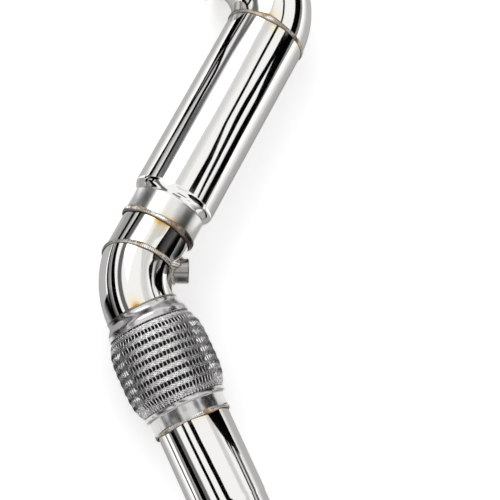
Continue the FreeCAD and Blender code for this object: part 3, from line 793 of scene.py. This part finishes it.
def knitted_wire():
    """Bright drawn stainless wire: a sharp gleam on each wire, a little greyer in spots of 4 mm."""
    m = new_material("bright_drawn_wire")
    place = add(m, "TexCoord")
    spread = add(m, "TexNoise", [("vector", place, "Object")], scale=240.0, detail=2.0)
    tint = ramp(add(m, "ValToRGB", [("fac", spread, "Fac")]),
                (0.3, "#e6e5e3"), (0.65, "#ffffff"))
    shader = add(m, "BsdfPrincipled", [("base_color", tint, "Color")],
                 roughness=0.22, metallic=1.0)
    return surface(m, shader)


def wires(paths, radius, sides):
    """Round wires along closed paths of (radius, turn, distance) in the braid's frame: a small
    circle of points across the wire, with a flat of it facing out."""
    r, u, z = paths
    centre = np.stack([r * np.cos(u), r * np.sin(u), z], -1)
    ahead = np.roll(centre, -1, 1) - np.roll(centre, 1, 1)
    ahead = ahead / np.linalg.norm(ahead, axis=-1)[..., None]
    out = np.stack([np.cos(u), np.sin(u), 0 * u], -1)
    out = out - (out * ahead).sum(-1)[..., None] * ahead
    out = out / np.linalg.norm(out, axis=-1)[..., None]
    aside = np.cross(ahead, out)
    v = np.linspace(0, 2 * np.pi, sides, endpoint=False) + np.pi / sides
    ring = np.cos(v)[:, None] * out[..., None, :] + np.sin(v)[:, None] * aside[..., None, :]
    points = centre[..., None, :] + radius * ring
    count, length = r.shape
    one = quads(length, sides, True, True)
    faces = (one[None] + np.arange(count)[:, None, None] * length * sides).reshape(-1, 4)
    return points.reshape(-1, 3), faces


def loop_course(middle, height, loops, steps, lean, depth, shift=0.0, strands=1):
    """One course of loops as strands side by side: turn = (t + lean sin 2t) / loops, distance =
    middle - height cos t. The wire lies depth under the sleeve's outer radius and rises on its
    legs."""
    t = np.linspace(0, 2 * np.pi * loops, loops * steps, endpoint=False)[None]
    lay = (np.arange(strands) - (strands - 1) / 2)[:, None]
    turn = (t + lean * np.sin(2 * t)) / loops + shift
    z = middle - (height - STRAND_SPACING * lay) * np.cos(t)
    turn = turn + STRAND_SPACING * lay * np.sin(t) / BRAID_CROWN
    z = np.clip(z, -BRAID_TUCK + END_CLEARANCE, BRAID_LENGTH + BRAID_TUCK - END_CLEARANCE)
    r = braid_radius(z) - WIRE_RADIUS - depth - LEG_RISE * np.cos(2 * t)
    return r, turn, z


WIRE = knitted_wire()
band_pitch = BRAID_LENGTH / BRAID_BANDS
courses = [loop_course(course * band_pitch, band_pitch * LOOP_REACH, LOOPS, steps=14, lean=0.42,
                       depth=0.3, strands=2) for course in range(BRAID_BANDS + 1)]
fine_rows = [loop_course((band + 0.5 + row * FINE_ROW_PITCH) * band_pitch, FINE_ROW_HEIGHT,
                         LOOPS * 2, steps=5, lean=0.1, depth=0.1, shift=row * FINE_ROW_SHIFT)
             for band in range(BRAID_BANDS) for row in (-2, -1, 0, 1, 2)]
end_rows = [loop_course(end, END_ROW_HEIGHT, LOOPS * 2, steps=5, lean=0.1, depth=0.1)
            for end in END_ROWS]
knit_points = []
knit_faces = []
total = 0
for paths, radius, sides in ([(paths, WIRE_RADIUS, 4) for paths in courses]
                             + [(paths, FINE_WIRE_RADIUS, 3) for paths in fine_rows + end_rows]):
    new_points, new_faces = wires(paths, radius, sides)
    knit_points.append(new_points)
    knit_faces.append(new_faces + total)
    total += len(new_points)
knit = np.concatenate(knit_points) @ braid_start[:3, :3].T + braid_start[:3, 3]
piece("flex_braid_knitted", knit, np.concatenate(knit_faces), WIRE, "flex_braid",
      90)

# Lower collar: spun stainless sheet, satin from the spinning. A lip holds the braid's end, and a
# socket takes the outlet pipe.
LIP_LENGTH = 4.5
LOWER_COLLAR = 20.2
SLEEVE_RADIUS = SOCKET_RADIUS + 1.5
braid_end = along(braid_start, BRAID_LENGTH)
lower_outer = np.concatenate([
    [(COLLAR_RADIUS - 0.3, 0), (COLLAR_RADIUS, 0.3), (COLLAR_RADIUS, LIP_LENGTH - 1)],
    eased((COLLAR_RADIUS, LIP_LENGTH - 0.8), (SLEEVE_RADIUS, LIP_LENGTH + 1.2), 8)[1:],
    [(SLEEVE_RADIUS, LOWER_COLLAR)],
])
lower_inner = [(SOCKET_RADIUS, LOWER_COLLAR), (SOCKET_RADIUS, LIP_LENGTH - 1.5),
               (COLLAR_BORE, LIP_LENGTH - 1.5), (COLLAR_BORE, 0)]
spun("flex_lower_collar_spun", braid_end, np.concatenate([lower_outer, lower_inner])[::-1], SATIN,
     "flex_lower_collar")

# Flex lower weld: a fillet of filler from the collar's end down to the outlet pipe. It was laid by
# hand on the bench and is the roughest of the beads.
flex_end = along(braid_end, LOWER_COLLAR)
bead("flex_lower_weld_bead", round_seam(along(flex_end, 0.3), PIPE_RADIUS + FILLET_RISE),
     "flex_lower_weld", width=5.0, crown=1.5, seed=71, upset=0.7)

# Outlet pipe: straight mirror-polished tube, sawn square and deburred at its free end, which is
# sized down a hair for the next tube's sleeve.
OUTLET_LENGTH = 150
SLIP_LENGTH = 60
SLIP_RADIUS = PIPE_RADIUS - 0.6
pipe_outer = straight(PIPE_RADIUS, -SOCKET_DEPTH, OUTLET_LENGTH - 0.4, steps=60)
pipe_outer[pipe_outer[:, 1] > OUTLET_LENGTH - SLIP_LENGTH, 0] = SLIP_RADIUS
pipe_inner = straight(PIPE_BORE, -SOCKET_DEPTH, OUTLET_LENGTH - 0.4, steps=60)[::-1]
pipe_mouth = [(SLIP_RADIUS - 0.4, OUTLET_LENGTH), (PIPE_BORE + 0.3, OUTLET_LENGTH)]
outlet_heat = warmed(dict(place=flex_end, reach=5, share=0.35, side=60, spread=40, seed=10))
spun("outlet_pipe_drawn", flex_end, np.concatenate([pipe_outer, pipe_mouth, pipe_inner])[::-1],
     POLISHED, "outlet_pipe", values={"temper": outlet_heat})

# Camera: the photograph's view, steeply from above through a long lens, about a metre and a half
# over the floor.
CAMERA_PLACE = np.array([-81.27, -484.23, 1489.1])
CAMERA_RIGHT = (0.99669, -0.05992, 0.06283)
CAMERA_UP = (0.0381, 0.95189, 0.30404)
CAMERA_BACK = (-0.07798, -0.30059, 0.95097)
FOCAL_PIXELS = 1450
FRAME_PIXELS = 500
SENSOR = 36.0
camera_data = bpy.data.cameras.new("camera")
camera_data.sensor_width = SENSOR
camera_data.lens = FOCAL_PIXELS / FRAME_PIXELS * SENSOR
camera_data.clip_end = 20
camera = bpy.data.objects.new("camera", camera_data)
view = np.eye(4)
view[:3, 0] = CAMERA_RIGHT
view[:3, 1] = CAMERA_UP
view[:3, 2] = CAMERA_BACK
view[:3, 3] = CAMERA_PLACE * MM
camera.matrix_world = mathutils.Matrix(view.tolist())
bpy.context.scene.collection.objects.link(camera)
bpy.context.scene.camera = camera

# Floor: a plain pale sheet of paper that the camera and the polish see as white, and that keeps
# the part's soft shadow.
FLOOR_SIZE = 3.0
PAPER_GLOW = 0.42


def paper():
    """Matt white paper: it shows white to the eye and in the metal, and takes soft shadows."""
    m = new_material("white_paper")
    light = add(m, "LightPath")
    seen = add(m, "Math", [(0, light, "Is Camera Ray"), (1, light, "Is Glossy Ray")],
               operation="MAXIMUM")
    level = add(m, "Math", [(0, seen, "Value")], [(1, PAPER_GLOW)], operation="MULTIPLY")
    shader = add(m, "BsdfPrincipled", [("emission_strength", level, "Value")],
                 base_color=colour("#f4f4f4"), roughness=0.9, specular_ior_level=0.1,
                 emission_color=(1, 1, 1, 1))
    return surface(m, shader)


floor_mesh = bpy.data.meshes.new("floor")
half = FLOOR_SIZE / 2
floor_corners = [(-half, -half, 0), (half, -half, 0), (half, half, 0), (-half, half, 0)]
floor_mesh.from_pydata(floor_corners, [], [(0, 1, 2, 3)])
floor_mesh.materials.append(paper())
floor = bpy.data.objects.new("floor", floor_mesh)
bpy.context.scene.collection.objects.link(floor)

# Studio wall: a low ring of grey cloth round the set that fades out at its top. It gives the polish
# a grey side from every view. Only the metal's reflections see it.
WALL_RADIUS = 1450
WALL_HEIGHTS = (4, 160, 560)
WALL_COVER = (0.9, 0.8, 0.0)
WALL_PANELS = 64


def set_aside(name, points, faces, material, cover):
    """Part of the studio that only the metal's reflections see. Cover is 1 where it is solid and 0
    where light passes."""
    mesh = bpy.data.meshes.new(name)
    mesh.from_pydata((points.reshape(-1, 3) * MM).tolist(), [], faces.tolist())
    mesh.materials.append(material)
    layer = mesh.attributes.new("cover", "FLOAT", "POINT")
    layer.data.foreach_set("value", cover.astype(np.float32))
    obj = bpy.data.objects.new(name, mesh)
    obj.visible_camera = False
    obj.visible_diffuse = False
    obj.visible_shadow = False
    bpy.context.scene.collection.objects.link(obj)


def card(name, code):
    """Matt card or cloth of one colour, which lets light pass where the cover attribute is low."""
    m = new_material(name)
    cover = add(m, "Attribute", attribute_name="cover")
    paint = add(m, "BsdfPrincipled", base_color=colour(code), roughness=1.0,
                specular_ior_level=0.0)
    clear = add(m, "BsdfTransparent")
    both = add(m, "MixShader", [("fac", cover, "Fac"), (1, clear, 0), (2, paint, 0)])
    add(m, "OutputMaterial", [("surface", both, "Shader")])
    return m


DARK_CARD = card("dark_grey_card", "#7a7a7a")
swing = np.linspace(0, 2 * np.pi, WALL_PANELS, endpoint=False)
wall_ring = np.stack([WALL_RADIUS * np.cos(swing), WALL_RADIUS * np.sin(swing), 0 * swing], -1)
wall_points = np.stack([wall_ring + [0, 0, height] for height in WALL_HEIGHTS])
set_aside("studio_wall", wall_points, quads(len(WALL_HEIGHTS), WALL_PANELS, False, True), DARK_CARD,
          np.repeat(WALL_COVER, WALL_PANELS))

# Flags: strips of black, grey and pale card round the part, as a photographer sets them to give
# polished tube its dark lines and its soft grey sides. Only the metal's reflections see them.
FLOOR_CLEARANCE = 4
CARD_POINTS = 13
BLACK_CARD = card("black_card", "#060606")
GREY_CARD = card("grey_card", "#cfcfcf")
PALE_CARD = card("pale_card", "#ffffff")


def flag(name, frames, radius, stations, left, right, distance, material=BLACK_CARD, soft=(0, 0),
         tilt=(0, 0)):
    """A card placed where the mirror of a tube's wall throws the camera's sight. Its edges show on
    the tube at the given shares of the radius, from -1 at the left edge to 1 at the right, at each
    station: point = wall + distance (2 (sight . normal) normal - sight), and never lower than the
    floor. The soft shares of its width fade out at the left and the right edge. Tilt leans the
    wall down the run, in radians at the first and the last frame."""
    share = np.arange(len(frames)) / (len(frames) - 1)
    left = np.interp(share, stations, left)[:, None]
    right = np.interp(share, stations, right)[:, None]
    part = np.linspace(0, 1, CARD_POINTS)
    t = left + (right - left) * part
    axis = frames[:, :3, 2]
    origin = frames[:, :3, 3]
    sight = CAMERA_PLACE - origin
    facing = unit(sight - (sight * axis).sum(1)[:, None] * axis)
    aside = np.cross(facing, axis)
    normal = np.sqrt(1 - t ** 2)[..., None] * facing[:, None] + t[..., None] * aside[:, None]
    wall = origin[:, None] + radius * normal
    lean = (tilt[0] + (tilt[1] - tilt[0]) * share)[:, None, None]
    normal = np.cos(lean) * normal + np.sin(lean) * axis[:, None]
    sight = CAMERA_PLACE - wall
    sight = sight / np.linalg.norm(sight, axis=-1)[..., None]
    ray = 2 * (sight * normal).sum(-1)[..., None] * normal - sight
    drop = np.maximum(-ray[..., 2], 1e-6)
    reach = np.minimum(distance, np.maximum(wall[..., 2] - FLOOR_CLEARANCE, 1) / drop)
    fade = np.ones(CARD_POINTS)
    if soft[0]:
        fade = np.minimum(fade, part / soft[0])
    if soft[1]:
        fade = np.minimum(fade, (1 - part) / soft[1])
    set_aside(name, wall + reach[..., None] * ray, quads(len(frames), CARD_POINTS, False, False),
              material, np.tile(fade, len(frames)))


def flags(frames, radius, *cards):
    """The cards for one length of tube. Each gives its name, stations, left and right edges and
    distance, and where it isn't plain black card, its material, soft edges and tilt."""
    for name, *rest in cards:
        flag(name, frames, radius, *rest)


ENDS = (0, 1)
flags(along(canister_top, np.linspace(0, CANISTER_LENGTH + 4, 30)), CANISTER_RADIUS,
      ("flag_canister_left_line", (0, 0.2, 0.35, 1), (-0.82, -0.81, -0.79, -0.77),
       (-0.7, -0.72, -0.76, -0.73), 230),
      ("flag_canister_left_fork", (0.12, 0.36, 1), (-0.78, -0.66, -0.63),
       (-0.73, -0.6, -0.59), 300),
      ("flag_canister_left_grey", (0, 0.4, 1), (-0.62, -0.6, -0.59), (-0.5, -0.46, -0.43), 420,
       DARK_CARD, (0.3, 0.4)),
      ("pale_canister_centre", ENDS, (-0.3, -0.3), (0.04, 0.04), 560, PALE_CARD, (0.5, 0.3)),
      ("flag_canister_middle", (0, 0.6, 0.78, 1), (0.11, 0.15, 0.2, 0.19),
       (0.17, 0.21, 0.31, 0.33), 520),
      ("flag_canister_right", (0, 0.15, 0.5, 1), (0.35, 0.36, 0.31, 0.44),
       (0.44, 0.44, 0.42, 0.49), 480),
      ("flag_canister_right_low", (0, 0.15, 0.4, 0.6, 1), (0.43, 0.43, 0.53, 0.53, 0.57),
       (0.6, 0.62, 0.64, 0.66, 0.7), 400),
      ("grey_canister_right", ENDS, (0.72, 0.74), (0.995, 0.995), 500, GREY_CARD, (0.5, 0)),
      ("grey_canister_left", ENDS, (-0.995, -0.995), (-0.83, -0.79), 500, GREY_CARD, (0, 0.5)))
flags(along(flex_end, np.linspace(0, OUTLET_LENGTH, 16)), PIPE_RADIUS,
      ("flag_pipe_left_line", ENDS, (-0.79, -0.74), (-0.76, -0.71), 230),
      ("flag_pipe_left", ENDS, (-0.64, -0.56), (-0.54, -0.45), 300),
      ("flag_pipe_left_grey", ENDS, (-0.54, -0.45), (-0.44, -0.34), 300, DARK_CARD, (0, 0.3)),
      ("flag_pipe_middle", ENDS, (-0.31, -0.22), (-0.24, -0.14), 360),
      ("flag_pipe_middle_wide", ENDS, (-0.13, 0.02), (-0.02, 0.13), 360),
      ("flag_pipe_grey_line", ENDS, (0.34, 0.42), (0.5, 0.56), 360, PALE_CARD, (0.3, 0.3)),
      ("flag_pipe_right_line", ENDS, (0.61, 0.63), (0.65, 0.66), 300),
      ("flag_pipe_right_low_line", ENDS, (0.69, 0.71), (0.72, 0.73), 300),
      ("grey_pipe_right", ENDS, (0.74, 0.76), (0.995, 0.995), 400, GREY_CARD, (0.4, 0)),
      ("grey_pipe_left", ENDS, (-0.995, -0.995), (-0.82, -0.78), 400, GREY_CARD, (0, 0.5)))
flags(around(inlet_bend, INLET_BEND_RADIUS, np.linspace(0.6, INLET_BEND, 20)), CANISTER_RADIUS,
      ("flag_inlet_left", ENDS, (-0.7, -0.68), (-0.65, -0.64), 420),
      ("flag_inlet_left_grey", ENDS, (-0.48, -0.52), (-0.34, -0.4), 420, DARK_CARD, (0.2, 0.4)),
      ("flag_inlet_right_line", ENDS, (0.4, 0.16), (0.45, 0.2), 420),
      ("flag_inlet_right", ENDS, (0.7, 0.46), (0.84, 0.6), 420),
      ("grey_inlet_right", ENDS, (0.88, 0.7), (0.995, 0.995), 420, GREY_CARD, (0.4, 0)))
flags(along(canister_top, CANISTER_LENGTH + np.linspace(-1, 4, 8)), CANISTER_RADIUS,
      ("flag_shoulder", (0, 0.4, 1), (0.3, 0.2, 0.3), (0.62, 0.68, 0.62), 260, BLACK_CARD, (0, 0),
       (0.06, 0.3)),
      ("grey_shoulder_right", ENDS, (0.7, 0.6), (0.995, 0.995), 120, GREY_CARD, (0.4, 0),
       (0.2, 0.9)),
      ("grey_shoulder_left", ENDS, (-0.995, -0.995), (-0.8, -0.7), 120, GREY_CARD, (0, 0.4),
       (0.2, 0.9)))
flags(along(canister_top, np.linspace(shell_end - 4, shell_end + NECK_LENGTH, 8)), NECK_RADIUS,
      ("flag_neck_left", ENDS, (-0.76, -0.76), (-0.48, -0.48), 120, BLACK_CARD, (0.2, 0.2)),
      ("flag_neck_right", ENDS, (0.34, 0.34), (0.62, 0.62), 120, BLACK_CARD, (0.3, 0.1)))
flags(along(neck_end, np.linspace(-2, STUB_LENGTH, 8)), PIPE_RADIUS,
      ("flag_stub_left_line", ENDS, (-0.78, -0.8), (-0.73, -0.75), 120),
      ("flag_stub_left", ENDS, (-0.64, -0.68), (-0.58, -0.62), 120),
      ("flag_stub_left_grey", ENDS, (-0.57, -0.6), (-0.46, -0.52), 120, DARK_CARD, (0, 0.4)),
      ("pale_stub_centre", ENDS, (-0.12, -0.12), (0.12, 0.1), 420, PALE_CARD, (0.3, 0.3)),
      ("flag_stub_right", ENDS, (0.26, 0.26), (0.58, 0.5), 130, DARK_CARD, (0.7, 0.3)),
      ("grey_stub_left", ENDS, (-0.995, -0.995), (-0.8, -0.82), 120, GREY_CARD))
flags(around(bend_start, BEND_RADIUS, np.linspace(-0.1, BEND + 0.05, 16)), PIPE_RADIUS,
      ("flag_bend_left_line", ENDS, (-0.8, -0.72), (-0.77, -0.67), 200),
      ("flag_bend_left", (0, 0.5, 1), (-0.72, -0.64, -0.58), (-0.66, -0.54, -0.46), 260),
      ("flag_bend_left_grey", ENDS, (-0.56, -0.4), (-0.44, -0.26), 260, DARK_CARD, (0.1, 0.2)),
      ("pale_bend_centre", ENDS, (0.06, 0.16), (0.28, 0.38), 420, PALE_CARD, (0.3, 0.3)),
      ("grey_bend_left", ENDS, (-0.995, -0.995), (-0.82, -0.76), 260, GREY_CARD))
flags(along(flex_start, np.linspace(3, UPPER_COLLAR, 6)), COLLAR_RADIUS - 2,
      ("flag_upper_left", ENDS, (-0.9, -0.9), (-0.5, -0.5), 120, BLACK_CARD, (0.3, 0.5), (-0.4, 0)))
flags(along(braid_start, np.linspace(2, BRAID_LENGTH - 2, 12)), BRAID_CROWN,
      ("flag_braid_left", ENDS, (-0.99, -0.99), (-0.2, -0.2), 120, BLACK_CARD, (0, 0.8)),
      ("flag_braid_right", ENDS, (0.6, 0.6), (0.99, 0.99), 120, BLACK_CARD, (0.7, 0)))
flags(along(braid_end, np.linspace(0, LOWER_COLLAR, 6)), SLEEVE_RADIUS,
      ("flag_lower_left", ENDS, (-0.5, -0.56), (-0.2, -0.16), 120, BLACK_CARD, (0.2, 0.1)),
      ("flag_lower_right", ENDS, (0.18, 0.24), (0.34, 0.32), 120, BLACK_CARD, (0.2, 0.3)))

# Light: a wide soft box overhead, and a plain white studio all round that the camera and the
# polish see as white.
SOFTBOX_SIZE = (1.6, 1.2)
SOFTBOX_WATTS = 9.6
SOFTBOX_PLACE = (-0.65, 1.2, 1.9)
ROOM_LIGHT = 0.7
key_data = bpy.data.lights.new("overhead_softbox", "AREA")
key_data.shape = "RECTANGLE"
key_data.size, key_data.size_y = SOFTBOX_SIZE
key_data.energy = SOFTBOX_WATTS
key = bpy.data.objects.new("overhead_softbox", key_data)
key.location = SOFTBOX_PLACE
key.rotation_euler = mathutils.Vector(SOFTBOX_PLACE).to_track_quat("Z", "Y").to_euler()
bpy.context.scene.collection.objects.link(key)

world = bpy.data.worlds.new("white_studio")
bpy.context.scene.world = world
world.use_nodes = True
world.node_tree.nodes.clear()
path = add(world, "LightPath")
camera_or_gloss = add(world, "Math",
                      [(0, path, "Is Camera Ray"), (1, path, "Is Glossy Ray")], operation="MAXIMUM")
any_seen = add(world, "Math",
               [(0, camera_or_gloss, "Value"), (1, path, "Is Transmission Ray")],
               operation="MAXIMUM")
strength = add(world, "MapRange", [("value", any_seen, "Value")],
               to_min=ROOM_LIGHT, to_max=1.0)
sky = add(world, "Background", [("strength", strength, "Result")], color=(1, 1, 1, 1))
add(world, "OutputWorld", [("surface", sky, "Background")])

bpy.context.scene.view_settings.view_transform = "Standard"
